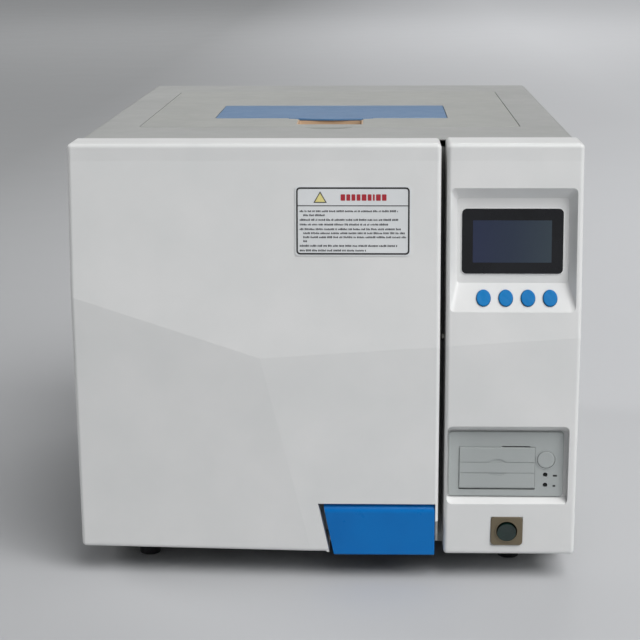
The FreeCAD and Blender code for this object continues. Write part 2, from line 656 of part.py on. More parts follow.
def printer_body():
    x0, x1 = PRINTER_X
    z0, z1 = PRINTER_Z
    plate = slab_y(x0, x1, PRINTER_FACE_Y, PRINTER_FLOOR_Y, z0, z1, 3.0)
    plate = softened(plate, 0.7, lambda edge: abs(edge.CenterOfMass.y - PRINTER_FACE_Y) < 0.05)
    case = box(122, 227.5, PRINTER_FLOOR_Y, -250, 89.6, 149.6)
    bay = box(128, 204, -310, -251.4, 92, 138.2)
    electronics = box(206, 225.5, -292, -251.4, 92, 147)
    window = box(PAPER_DOOR_X[0] - 0.35, PAPER_DOOR_X[1] + 0.35, -310, -290,
                 PAPER_DOOR_Z[0] - 1.0, PAPER_DOOR_Z[1] + 0.35)
    slot = box(PAPER_SLOT_X[0], PAPER_SLOT_X[1], -310, -290, PAPER_DOOR_Z[1] - 1, PAPER_DOOR_Z[1] + 1.3)
    bay = bay.cut(box(120, 230, -310, -291.6, 80, 160))
    feed = rod_y(FEED_X, -310, -289, FEED_Z, FEED_R + 0.4)
    rim = tube_y(FEED_X, PRINTER_FACE_Y - 0.5, PRINTER_FACE_Y + 0.2, FEED_Z, FEED_R + 1.5, FEED_R + 0.4)
    lamps = [rod_y(213.0, -310, -292, 109.0, 2.3), rod_y(213.0, -310, -292, 98.6, 2.3)]
    switch = box(FEED_X - 3, FEED_X + 3, -286.4, -284, FEED_Z - 3, FEED_Z + 3)
    board = box(206, 225.5, -284, -282.4, 92, 147)
    shell = plate.fuse([case, rim]).cut([bay, electronics, window, slot, feed] + lamps)
    pivots = []
    for x in (PAPER_DOOR_X[0] - 1.7, PAPER_DOOR_X[1] - 1.5):
        pivots.append(rod_x(x, x + 3.2, PAPER_HINGE[0], PAPER_HINGE[1], PAPER_PIN_R))
    spool = rod_x(128, 204, ROLL[0], ROLL[1], 4.0)
    return Part.makeCompound([shell.fuse(pivots + [spool]), board.fuse(switch)])


def printer_door():
    """A panel with two thumb ridges. Its lower edge is a round bead that turns on the hinge pins."""
    x0, x1 = PAPER_DOOR_X
    y0, y1 = PAPER_DOOR_Y
    z1 = PAPER_DOOR_Z[1]
    hinge_y, hinge_z = PAPER_HINGE
    panel = box(x0, x1, y0, y1, hinge_z, z1)
    panel = softened(panel, 0.6, lambda edge: abs(edge.CenterOfMass.y - y0) < 0.05
                     and edge.CenterOfMass.z > hinge_z + 1)
    bead = rod_x(x0, x1, hinge_y, hinge_z, hinge_y - y0)
    bead = softened(bead, 0.6, lambda edge: edge.Curve.TypeId == "Part::GeomCircle")
    ridges = []
    middle = (x0 + x1) / 2
    for z, rise, side in ((121.7, 3.4, 1), (110.9, 3.2, -1)):
        ridges.append(box(x0 - 1, x1 + 1, y0 - 1, y0 + 0.5, z - 0.35, z + 0.35))
        left = Vec(middle - 9, y0 - 1, z)
        right = Vec(middle + 9, y0 - 1, z)
        arc = Part.Arc(left, Vec(middle, y0 - 1, z + side * rise), right)
        chord = Part.LineSegment(right, left)
        wire = Part.Wire([arc.toShape(), chord.toShape()])
        ridges.append(Part.Face(wire).extrude(Vec(0, 1.8, 0)))
    ears = []
    for x in (x0 + 2.0, x1 - 5.5):
        ears.append(box(x, x + 3.5, y1 - 0.5, PLATEN[0] + 3, PLATEN[1] - 6, PLATEN[1] + 3))
    bores = [rod_x(x0 - 3, x1 + 3, hinge_y, hinge_z, PAPER_PIN_R + PIN_FIT),
             rod_x(x0 - 3, x1 + 3, PLATEN[0], PLATEN[1], 1.56)]
    return panel.fuse([bead] + ears).cut(ridges + bores)


def platen_roller():
    x0 = PAPER_DOOR_X[0] + 6.2
    x1 = PAPER_DOOR_X[1] - 6.2
    shaft = rod_x(x0 - 4, x1 + 4, PLATEN[0], PLATEN[1], 1.5)
    return rod_x(x0, x1, PLATEN[0], PLATEN[1], PLATEN_R).fuse(shaft)


def feed_button():
    cap = rod_y(FEED_X, PRINTER_FACE_Y - 1.0, PRINTER_FACE_Y + 2.4, FEED_Z, FEED_R)
    cap = softened(cap, 0.8, lambda edge: abs(edge.CenterOfMass.y - PRINTER_FACE_Y + 1.0) < 0.05)
    return cap.fuse(rod_y(FEED_X, PRINTER_FACE_Y + 2, -288.2, FEED_Z, 2.0))


def paper_roll():
    return rod_x(137.5, 194.5, ROLL[0], ROLL[1], ROLL_R).cut(rod_x(130, 200, ROLL[0], ROLL[1], 4.3))


def power_switch_plate():
    middle_x = sum(SWITCH_X) / 2
    middle_z = sum(SWITCH_Z) / 2
    plate = slab_y(SWITCH_X[0], SWITCH_X[1], SWITCH_Y[0], SWITCH_Y[1], SWITCH_Z[0], SWITCH_Z[1], 4.0)
    plate = softened(plate, 0.8, lambda edge: abs(edge.CenterOfMass.y - SWITCH_Y[0]) < 0.05)
    ring = tube_y(middle_x, SWITCH_Y[0] - 0.7, SWITCH_Y[0] + 0.5, middle_z, ROCKER_R + 2.0, ROCKER_R + 1.0)
    barrel = tube_y(middle_x, SWITCH_Y[1], -276, middle_z, 11.4, ROCKER_R + 1.0)
    plug = rod_y(middle_x, -280, -276, middle_z, ROCKER_R + 1.1)
    bore = rod_y(middle_x, -310, -280, middle_z, ROCKER_R + 1.0)
    pivot = rod_x(middle_x - 11, middle_x + 11, SWITCH_Y[1] + 5, middle_z, 1.2)
    tabs = [box(middle_x - 6, middle_x - 5, -276, -266, middle_z - 3, middle_z + 3),
            box(middle_x + 5, middle_x + 6, -276, -266, middle_z - 3, middle_z + 3)]
    return plate.fuse([ring, barrel, plug] + tabs).cut(bore).fuse(pivot)


def power_rocker():
    middle_x = sum(SWITCH_X) / 2
    middle_z = sum(SWITCH_Z) / 2
    body = rod_y(middle_x, SWITCH_Y[0] - 1.2, SWITCH_Y[1] + 9, middle_z, ROCKER_R)
    half = ROCKER_R + 2
    drop = half * math.tan(math.radians(ROCKER_ANGLE))
    crown = SWITCH_Y[0] - 0.4
    profile = [(crown - drop, middle_z + half), (crown, middle_z), (crown - drop, middle_z - half),
               (crown - 9, middle_z - half), (crown - 9, middle_z + half)]
    valley = prism_x(profile, middle_x - 20, middle_x + 20)
    body = body.cut(valley)
    bore = rod_x(middle_x - 20, middle_x + 20, SWITCH_Y[1] + 5, middle_z, 1.26)
    body = body.cut(bore)
    body.rotate(Vec(middle_x, SWITCH_Y[1] + 5, middle_z), Vec(1, 0, 0), ROCKER_ANGLE)
    return body


def lock_solenoid():
    body = slab_x(120, 158, LOCK_Y - 12, LOCK_Y + 12, LOCK_Z - 13, LOCK_Z + 13, 2.0)
    bore = rod_x(118, 152, LOCK_Y, LOCK_Z, LOCK_R + 0.05)
    strap = box(124, 128, LOCK_Y + 11.9, CABINET_FRONT, LOCK_Z - 10, LOCK_Z + 10)
    return body.cut(bore).fuse(strap)


def lock_bolt():
    bolt = rod_x(112.2, 140, LOCK_Y, LOCK_Z, LOCK_R)
    return softened(bolt, 0.8, lambda edge: abs(edge.CenterOfMass.x - 112.2) < 0.1)


# ---------------------------------------------------------------- chamber and water system

def chamber_vessel():
    outer_r = CHAMBER_R + CHAMBER_WALL
    wall = rod_y(CHAMBER_X, FLANGE_FRONT + 1, CHAMBER_BACK, CHAMBER_Z, outer_r)
    wall = wall.cut(rod_y(CHAMBER_X, FLANGE_FRONT, CHAMBER_BACK + 1, CHAMBER_Z, CHAMBER_R))
    depth = 30.0

    def cap(radius, rise):
        ball = (radius * radius + rise * rise) / (2 * rise)
        ball_shape = Part.makeSphere(ball, Vec(CHAMBER_X, CHAMBER_BACK + rise - ball, CHAMBER_Z))
        return ball_shape.common(rod_y(CHAMBER_X, CHAMBER_BACK, CHAMBER_BACK + rise + 5, CHAMBER_Z, radius))

    dish = cap(outer_r, depth).cut(cap(CHAMBER_R, depth - CHAMBER_WALL))
    port = rod_y(CHAMBER_X, CHAMBER_BACK + 20, CHAMBER_BACK + 44, CHAMBER_Z, 6)
    bore = rod_y(CHAMBER_X, CHAMBER_BACK + 10, CHAMBER_BACK + 45, CHAMBER_Z, 4)
    return joined([wall, dish, port]).cut(bore)


def chamber_flange():
    outer_r = CHAMBER_R + CHAMBER_WALL
    ring = tube_y(CHAMBER_X, FLANGE_FRONT, FLANGE_BACK, CHAMBER_Z, FLANGE_R, outer_r)
    return softened(ring, 1.5, lambda edge: abs(edge.CenterOfMass.y - FLANGE_FRONT) < 0.1
                    and edge.Length > 6.2 * FLANGE_R)


def heater_bands():
    outer_r = CHAMBER_R + CHAMBER_WALL
    return Part.makeCompound([tube_y(CHAMBER_X, y, y + 60, CHAMBER_Z, outer_r + 2.0, outer_r + 0.02)
                              for y in (-210.0, -80.0, 40.0)])


def insulation_jacket():
    outer_r = CHAMBER_R + CHAMBER_WALL
    sleeve = tube_y(CHAMBER_X, -238, CHAMBER_BACK + 34, CHAMBER_Z, outer_r + 20, outer_r + 2.2)
    disc = tube_y(CHAMBER_X, CHAMBER_BACK + 34, CHAMBER_BACK + 40, CHAMBER_Z, outer_r + 20, 8)
    return sleeve.fuse(disc)


def tray_rack():
    half_x, half_z = 97.0, 69.0
    y0, y1 = -236.0, 104.0
    pieces = []
    for side in (-1, 1):
        x = CHAMBER_X + side * half_x
        plate = box(min(x, x - side * 1.5), max(x, x - side * 1.5), y0, y1,
                    CHAMBER_Z - half_z, CHAMBER_Z + half_z)
        windows = []
        for step in range(4):
            start = y0 + 18 + 80 * step
            for level in (-46, 0, 46):
                windows.append(box(x - 4, x + 4, start, start + 64,
                                   CHAMBER_Z + level - 12, CHAMBER_Z + level + 14))
        pieces.append(plate.cut(windows))
        for level in (-66, -20, 26):
            inner = x - side * 9
            pieces.append(box(min(x, inner), max(x, inner), y0, y1,
                              CHAMBER_Z + level, CHAMBER_Z + level + 1.5))
    for y in (y0, y1 - 12):
        for z in (CHAMBER_Z - half_z, CHAMBER_Z + half_z - 1.5):
            pieces.append(box(CHAMBER_X - half_x, CHAMBER_X + half_x, y, y + 12, z, z + 1.5))
    return joined(pieces)


def instrument_trays():
    trays = []
    for level in (-64.3, -18.3, 27.7):
        z = CHAMBER_Z + level
        outer = slab_z(CHAMBER_X - 94, CHAMBER_X + 94, -232, 100, z, z + 18, 10.0)
        inner = slab_z(CHAMBER_X - 93, CHAMBER_X + 93, -231, 99, z + 1, z + 20, 9.0)
        slots = []
        for row in range(9):
            for side in (-1, 1):
                x = CHAMBER_X + side * 44
                y = -212 + 36 * row
                slots.append(slab_z(x - 34, x + 34, y, y + 8, z - 1, z + 2, 3.9))
        trays.append(outer.cut([inner] + slots))
    return Part.makeCompound(trays)


def water_tank():
    outer = slab_z(-188, 188, -150, 202, 349, LEDGE_Z, 12.0)
    rim = slab_z(-203, 203, LID_Y[0] - 14, LID_Y[1] + 10, LEDGE_Z - 3, CASE_TOP - CASE_WALL, 14.0)
    seat = slab_z(-LID_X - GAP, LID_X + GAP, LID_Y[0] - GAP, LID_Y[1] + GAP, LEDGE_Z, LEDGE_Z + 9, 9.0)
    clean = slab_z(-185, -2, -147, 199, 352, LEDGE_Z + 5, 9.0)
    waste = slab_z(2, 185, -147, 199, 352, LEDGE_Z + 5, 9.0)
    notch = rod_z(0, LID_Y[0] + 12, LEDGE_Z, LEDGE_Z + 9, 25)
    divider_top = box(-3, 3, -147, 199, 417.5, LEDGE_Z + 5)
    return outer.fuse(rim).cut([seat, clean, waste, notch, divider_top])


def tank_cover():
    top = slab_z(-LID_X, LID_X, LID_Y[0], LID_Y[1], LEDGE_Z + 0.3, LID_TOP, 8.4)
    top = softened(top, 1.2, lambda edge: abs(edge.CenterOfMass.z - LID_TOP) < 0.05)
    tub = slab_z(-FLAP_X - 4, FLAP_X + 4, SCOOP_Y[0] - 3, FLAP_Y[1] + 5, 419.0, LEDGE_Z + 1, 3.0)
    skirt = slab_z(-180, 180, -142, 194, 421, LEDGE_Z + 1, 6.0)
    skirt = skirt.cut(slab_z(-177, 177, -139, 191, 420, LEDGE_Z + 2, 4.0))
    flap_pocket = slab_z(-FLAP_X - GAP, FLAP_X + GAP, FLAP_Y[0] - GAP, FLAP_Y[1] + GAP + 1, 422.4, 440, 2.6)
    bulge = rod_z(0, FLAP_Y[0] + 118, 422.4, 440, 130).common(box(-45, 45, -100, -70, 422.4, 440))
    scoop = slab_z(-SCOOP_X - 1.6, SCOOP_X + 1.6, SCOOP_Y[0] - 1.6, SCOOP_Y[1] + 2,
                   LID_TOP - SCOOP_DEPTH - 1.4, 440, 3.0)
    fills = [slab_z(-100, -20, -60, 14, 410, 425, 8.0), slab_z(20, 100, -60, 14, 410, 425, 8.0)]
    pins = [rod_x(-FLAP_X - 3.4, FLAP_X + 3.4, FLAP_PIN_Y, FLAP_PIN_Z, 2.06)]
    return joined([top, tub, skirt]).cut([flap_pocket, bulge, scoop] + fills + pins)


def scoop_liner():
    """A pocket for the fingers. Its back wall stands under the thin lip of the flap."""
    z1 = LID_TOP - 0.3
    back = SCOOP_Y[1] - 7.5
    outer = slab_z(-SCOOP_X - 1.5, SCOOP_X + 1.5, SCOOP_Y[0] - 1.5, back,
                   LID_TOP - SCOOP_DEPTH - 1.4, z1, 2.9)
    hollow = slab_z(-SCOOP_X, SCOOP_X, SCOOP_Y[0], back - 1.5, LID_TOP - SCOOP_DEPTH, z1 + 5, 2.0)
    under_lip = box(-SCOOP_X - 3, SCOOP_X + 3, FLAP_Y[0] - 13, FLAP_Y[0], LID_TOP - 1.8, z1 + 5)
    return outer.cut([hollow, under_lip])


def filler_flap():
    z0 = LID_TOP + 0.4 - FLAP_T
    z1 = LID_TOP + 0.4
    panel = slab_z(-FLAP_X, FLAP_X, FLAP_Y[0], FLAP_Y[1], z0, z1, 2.0)
    bulge = rod_z(0, FLAP_Y[0] + 118 + 0.6, z0, z1, 129.4).common(box(-44, 44, -100, -70, z0, z1))
    lip_relief = box(-SCOOP_X - 3, SCOOP_X + 3, FLAP_Y[0] - 20, FLAP_Y[0] - 5.5, z0 - 1, LID_TOP - 1.4)
    panel = joined([panel, bulge]).cut(lip_relief)
    panel = softened(panel, 0.9, lambda edge: abs(edge.CenterOfMass.z - z1) < 0.05 and edge.Length > 3)
    pins = rod_x(-FLAP_X - 3.0, FLAP_X + 3.0, FLAP_PIN_Y, FLAP_PIN_Z, 2.0)
    return panel.fuse(pins)


def steam_generator():
    body = rod_z(165, 80, 30, 190, 36)
    body = softened(body, 8.0, lambda edge: edge.Length > 200)
    collar = rod_z(165, 80, 100, 108, 39)
    feet = box(130, 200, 60, 100, 22, 31)
    return joined([body, collar, feet, rod_z(165, 80, 188, 200, 6)])


def vacuum_pump():
    motor = rod_y(165, -170, -60, 95, 32)
    head = slab_y(128, 202, -60, -22, 62, 150, 6.0)
    heads = [rod_z(148, -41, 148, 166, 15), rod_z(184, -41, 148, 166, 15)]
    foot = box(135, 195, -160, -30, 22, 66)
    return joined([motor, head, foot] + heads)


def condenser():
    fins = []
    for step in range(24):
        x = FAN_X - 58 + 5 * step
        fins.append(box(x, x + 1.2, 216, 256, FAN_Z - 60, FAN_Z + 60))
    runs = []
    for row in range(5):
        z = FAN_Z - 48 + 24 * row
        runs.append(rod_x(FAN_X - 62, FAN_X + 64, 236, z, 4))
    return joined(runs[:1] + fins + runs[1:])


def fan_housing():
    x0, x1 = FAN_X - FAN_SIZE / 2, FAN_X + FAN_SIZE / 2
    z0, z1 = FAN_Z - FAN_SIZE / 2, FAN_Z + FAN_SIZE / 2
    frame = slab_y(x0, x1, FAN_Y[0], FAN_Y[1] - 0.4, z0, z1, 6.0)
    frame = frame.cut(rod_y(FAN_X, 250, 300, FAN_Z, 56.5))
    spokes = []
    for angle in (45, 135):
        spoke = box(FAN_X - 58, FAN_X + 58, FAN_Y[0], FAN_Y[0] + 3, FAN_Z - 3, FAN_Z + 3)
        spokes.append(spoke.rotated(Vec(FAN_X, 0, FAN_Z), Vec(0, 1, 0), angle))
    hub = rod_y(FAN_X, FAN_Y[0], FAN_Y[0] + 3, FAN_Z, 18)
    axle = rod_y(FAN_X, FAN_Y[0] + 3, FAN_Y[1] - 4, FAN_Z, 2.5)
    rings = []
    for radius in (14.0, 27.0, 40.0, 53.0):
        rings.append(tube_y(FAN_X, CASE_BACK + 3, CASE_BACK + 5, FAN_Z, radius + 1.0, radius - 1.0))
    bars = []
    for angle in (0, 90):
        bar = box(FAN_X - 62, FAN_X + 62, CASE_BACK + 1.2, CASE_BACK + 3.2, FAN_Z - 1.2, FAN_Z + 1.2)
        bars.append(bar.rotated(Vec(FAN_X, 0, FAN_Z), Vec(0, 1, 0), angle))
    lugs = []
    for dx, dz in ((-61, 0), (61, 0), (0, -61), (0, 61)):
        lugs.append(rod_y(FAN_X + dx, CASE_BACK, CASE_BACK + 3.2, FAN_Z + dz, 3.5))
    return Part.makeCompound([joined([frame, hub, axle] + spokes), joined(rings + bars + lugs)])


def fan_rotor():
    hub = rod_y(FAN_X, FAN_Y[0] + 5, FAN_Y[1] - 3, FAN_Z, 20)
    blades = []
    for step in range(7):
        blade = box(FAN_X + 17, FAN_X + 54, FAN_Y[0] + 12, FAN_Y[0] + 14, FAN_Z - 13, FAN_Z + 13)
        blade.rotate(Vec(FAN_X, FAN_Y[0] + 13, FAN_Z), Vec(1, 0, 0), 32)
        blade.rotate(Vec(FAN_X, 0, FAN_Z), Vec(0, 1, 0), 360 / 7 * step)
        blades.append(blade)
    rotor = joined([hub] + blades)
    keep = rod_y(FAN_X, FAN_Y[0] + 4.5, FAN_Y[1] - 2.5, FAN_Z, 54.5)
    return rotor.common(keep).cut(rod_y(FAN_X, FAN_Y[0] + 4, FAN_Y[1] - 3.7, FAN_Z, 2.56))


def valve_manifold():
    block = box(40, 150, 190, 225, 60, 84)
    coils = []
    for step in range(5):
        x = 52 + 21 * step
        coils.append(slab_z(x - 8, x + 8, 199, 216, 84, 112, 3.0))
        coils.append(rod_z(x, 207.5, 110, 118, 4))
    legs = [box(44, 52, 196, 219, 22, 61), box(138, 146, 196, 219, 22, 61)]
    return joined([block] + coils + legs)


def main_board():
    board = box(226, 228, -200, 40, 160, 330)
    parts = [box(210, 226, -190, -150, 170, 200), box(206, 226, -120, -80, 180, 230),
             box(214, 226, -60, 20, 250, 300), box(218, 226, -190, -100, 280, 310)]
    posts = []
    for y in (-192, 32):
        for z in (168, 322):
            posts.append(rod_x(228, INNER_X, y, z, 3))
    return joined([board] + parts + posts)


def power_supply():
    case = box(110, 200, 110, 180, 215, 330)
    slots = []
    for row in range(8):
        slots.append(box(205 - 8, 205, 118, 172, 224 + 12 * row, 229 + 12 * row))
    bracket = box(199.9, INNER_X, 140, 150, 215, 240)
    return case.cut(slots).fuse(bracket)


def steam_pipes():
    feed = pipe([(165, 80, 200), (165, 80, 232), (95, 80, 232), (95, 176, 232),
                 (CHAMBER_X, 176, 232), (CHAMBER_X, 176, CHAMBER_Z + 0.5)], 4.0, 12.0)
    suction = pipe([(148, -41, 166), (148, -41, 190), (100, -41, 190), (100, -41, 40), (100, 207, 40),
                    (100, 207, 59.9)], 4.0, 9.0)
    drain = pipe([(130, 225.1, 72), (130, 240, 72), (DRAIN_X, 262, BARB_Z), (DRAIN_X, 279.8, BARB_Z)],
                 3.5, 8.0)
    return Part.makeCompound([feed, suction, drain])


def safety_valve():
    body = rod_y(VALVE_X, 262, 303, VALVE_Z, 8.0)
    nut = rod_y(VALVE_X, CASE_BACK, CASE_BACK + 4, VALVE_Z, 12.5)
    tail = rod_y(VALVE_X, 246, 263, VALVE_Z, 5.0)
    return joined([body, nut, tail]).cut(rod_y(VALVE_X, 290, 304, VALVE_Z, 3.0))


def valve_ring():
    stem = rod_y(VALVE_X, 292, 305, VALVE_Z, 2.4)
    ring = Part.makeTorus(6.0, 1.2, Vec(VALVE_X, 308.6, VALVE_Z), Vec(0, 1, 0))
    knob = rod_y(VALVE_X, 303.6, 309.6, VALVE_Z, 5.2)
    return joined([stem, knob, ring])


def air_filter():
    cup = rod_y(FILTER_X, CASE_BACK + 0.1, 309.0, FILTER_Z, 24)
    cup = softened(cup, 3.0, lambda edge: abs(edge.CenterOfMass.y - 309) < 0.1)
    neck = rod_y(FILTER_X, 268, CASE_BACK + 1, FILTER_Z, 12)
    ribs = []
    for step in range(24):
        rib = box(FILTER_X + 23.4, FILTER_X + 26, CASE_BACK + 4, 304, FILTER_Z - 0.9, FILTER_Z + 0.9)
        ribs.append(rib.rotated(Vec(FILTER_X, 0, FILTER_Z), Vec(0, 1, 0), 15 * step))
    return joined([cup, neck] + ribs)


def hose_barbs():
    barbs = []
    for x in (DRAIN_X, EXHAUST_X):
        shank = rod_y(x, 280, DEPTH / 2, BARB_Z, BARB_R)
        flange = rod_y(x, CASE_BACK, CASE_BACK + 4, BARB_Z, 11)
        neck = rod_y(x, CASE_BACK - SHEET - 4, CASE_BACK + 1, BARB_Z, 8)
        barbs.append(joined([shank, flange, neck]).cut(rod_y(x, 279, DEPTH / 2 + 1, BARB_Z, 3.2)))
    return Part.makeCompound(barbs)


def mains_inlet():
    flange = slab_y(INLET_X - 25, INLET_X + 25, CASE_BACK, CASE_BACK + 3, INLET_Z - 17, INLET_Z + 17, 3.0)
    body = slab_y(INLET_X - 13, INLET_X + 13, 262, CASE_BACK + 1, INLET_Z - 15, INLET_Z + 15, 1.0)
    outline = []
    for dx, dz in ((-12, -9), (12, -9), (12, 4), (8, 8), (-8, 8), (-12, 4)):
        outline.append((INLET_X + dx, INLET_Z + dz))
    cavity = prism_y(outline, 271, 300)
    pins = []
    for dx, dz in ((-7, -2.5), (0, 2.0), (7, -2.5)):
        pins.append(box(INLET_X + dx - 1, INLET_X + dx + 1, 270, 286, INLET_Z + dz - 2, INLET_Z + dz + 2))
    screws = []
    for dx in (-20, 20):
        screws.append(Part.makeCone(3.2, 2.4, 1.4, Vec(INLET_X + dx, CASE_BACK + 2.9, INLET_Z), Vec(0, 1, 0)))
    return flange.fuse([body] + screws).cut(cavity).fuse(pins)


PARTS = {
    "door_cover": door_cover,
    "door_liner": door_liner,
    "door_arm": door_arm,
    "label_plate": label_plate,
    "handle_bracket": handle_bracket,
    "latch_guides": latch_guides,
    "pressure_plate": pressure_plate,
    "door_gasket": door_gasket,
    "plate_bolt": plate_bolt,
    "door_handle": door_handle,
    "latch_bar": latch_bar,
    "base_pan": base_pan,
    "rubber_feet": rubber_feet,
    "cabinet_cover": cabinet_cover,
    "rear_panel": rear_panel,
    "front_frame": front_frame,
    "hinge_brackets": hinge_brackets,
    "latch_keepers": latch_keepers,
    "case_screws": case_screws,
    "control_fascia": control_fascia,
    "display_lens": display_lens,
    "control_board": control_board,
    "printer_body": printer_body,
    "printer_door": printer_door,
    "platen_roller": platen_roller,
    "feed_button": feed_button,
    "paper_roll": paper_roll,
    "power_switch_plate": power_switch_plate,
    "power_rocker": power_rocker,
    "lock_solenoid": lock_solenoid,
    "lock_bolt": lock_bolt,
    "chamber_vessel": chamber_vessel,
    "chamber_flange": chamber_flange,
    "heater_bands": heater_bands,
    "insulation_jacket": insulation_jacket,
    "tray_rack": tray_rack,
    "instrument_trays": instrument_trays,
    "water_tank": water_tank,
    "tank_cover": tank_cover,
    "scoop_liner": scoop_liner,
    "filler_flap": filler_flap,
    "steam_generator": steam_generator,
    "vacuum_pump": vacuum_pump,
    "condenser": condenser,
    "fan_housing": fan_housing,
    "fan_rotor": fan_rotor,
    "valve_manifold": valve_manifold,
    "main_board": main_board,
    "power_supply": power_supply,
    "steam_pipes": steam_pipes,
    "safety_valve": safety_valve,
    "valve_ring": valve_ring,
    "air_filter": air_filter,
    "hose_barbs": hose_barbs,
    "mains_inlet": mains_inlet,
}


def build():
    os.makedirs("parts", exist_ok=True)
    shapes = {name: make() for name, make in PARTS.items()}
    for number, x in enumerate(BUTTON_X, start=1):
        shapes["menu_button_%d" % number] = menu_button(x)
    for name, shape in shapes.items():
        shape.exportStep("parts/%s.step" % name)
        bounds = shape.BoundBox
        print("%-20s %3d solids %12.0f mm3  %s  x %.1f %.1f  y %.1f %.1f  z %.1f %.1f" % (
            name, len(shape.Solids), shape.Volume, "ok" if shape.isValid() else "INVALID",
            bounds.XMin, bounds.XMax, bounds.YMin, bounds.YMax, bounds.ZMin, bounds.ZMax))


build()
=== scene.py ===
"""Looks of the benchtop autoclave. Metres, +Z up, the front faces -Y, in the frame of the CAD model."""

import json
import math
import random

import bmesh
import bpy
from mathutils import Matrix, Vector


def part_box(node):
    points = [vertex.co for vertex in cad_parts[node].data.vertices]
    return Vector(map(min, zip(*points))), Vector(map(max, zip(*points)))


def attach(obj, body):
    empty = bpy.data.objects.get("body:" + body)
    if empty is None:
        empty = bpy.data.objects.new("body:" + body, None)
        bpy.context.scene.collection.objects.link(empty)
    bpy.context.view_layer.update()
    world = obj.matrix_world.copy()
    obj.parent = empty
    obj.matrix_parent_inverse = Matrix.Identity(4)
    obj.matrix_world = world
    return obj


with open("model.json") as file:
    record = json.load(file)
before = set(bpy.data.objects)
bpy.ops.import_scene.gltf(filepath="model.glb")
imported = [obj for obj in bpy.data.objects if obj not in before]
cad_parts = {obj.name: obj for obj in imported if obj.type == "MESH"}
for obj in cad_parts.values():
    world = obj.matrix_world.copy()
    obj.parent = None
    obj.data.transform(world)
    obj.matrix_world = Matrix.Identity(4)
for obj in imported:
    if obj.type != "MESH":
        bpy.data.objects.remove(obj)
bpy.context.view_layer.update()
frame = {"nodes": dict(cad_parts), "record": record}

# The upper facet of the front leans forward from its crease down to the ridge
FRONT_RIDGE_Z = 0.228
CREASE_Z = 0.416
UPPER_SLOPE = 0.073
FRONT_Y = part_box("door_cover")[0].y + UPPER_SLOPE * (CREASE_Z - FRONT_RIDGE_Z)
UPPER_FACET = (Matrix.Translation((0, FRONT_Y, CREASE_Z))
               @ Matrix.Rotation(-math.atan(UPPER_SLOPE), 4, "X")
               @ Matrix.Translation((0, -FRONT_Y, -CREASE_Z)))
UPRIGHT = Matrix.Identity(4)
REAR = Matrix.Rotation(math.pi, 4, "Z")

# Thickness of what is printed on a surface
INK = 0.00012

LABEL_X = (-0.0277, 0.0812)
LABEL_Z = (0.3265, 0.3925)
LABEL_THICKNESS = 0.0006
LABEL_FACE_Y = FRONT_Y - LABEL_THICKNESS
LABEL_HEADER = 0.0190
LABEL_INSET = 0.0012
LABEL_LINE = 0.0015

POCKET_DEPTH = 0.011
POCKET_FLOOR_Y = FRONT_Y + POCKET_DEPTH
LENS_X = (0.1298, 0.2251)
LENS_Z = (0.3085, 0.3702)
LENS_CORNER = 0.0043
LENS_THICKNESS = 0.0012
LENS_FACE_Y = POCKET_FLOOR_Y - LENS_THICKNESS
SCREEN_X = (0.1400, 0.2142)
SCREEN_Z = (0.3191, 0.3592)

LAMP_X = 0.2130
LAMP_Z = (0.1090, 0.0986)
LAMP_R = 0.0021
LAMP_DEPTH = 0.0036
# The rim round the feed button stands out this far from the printer's face
FEED_RIM = 0.0005

PLATE_X = (-0.030, 0.050)
PLATE_Z = (0.190, 0.234)
PLATE_THICKNESS = 0.0004


# ---------------------------------------------------------------- materials

def tint(red, green, blue):
    """A colour given as screen values from 0 to 255, in linear light."""
    linear = []
    for value in (red, green, blue):
        share = value / 255
        linear.append(share / 12.92 if share < 0.04045 else ((share + 0.055) / 1.055) ** 2.4)
    return (*linear, 1.0)


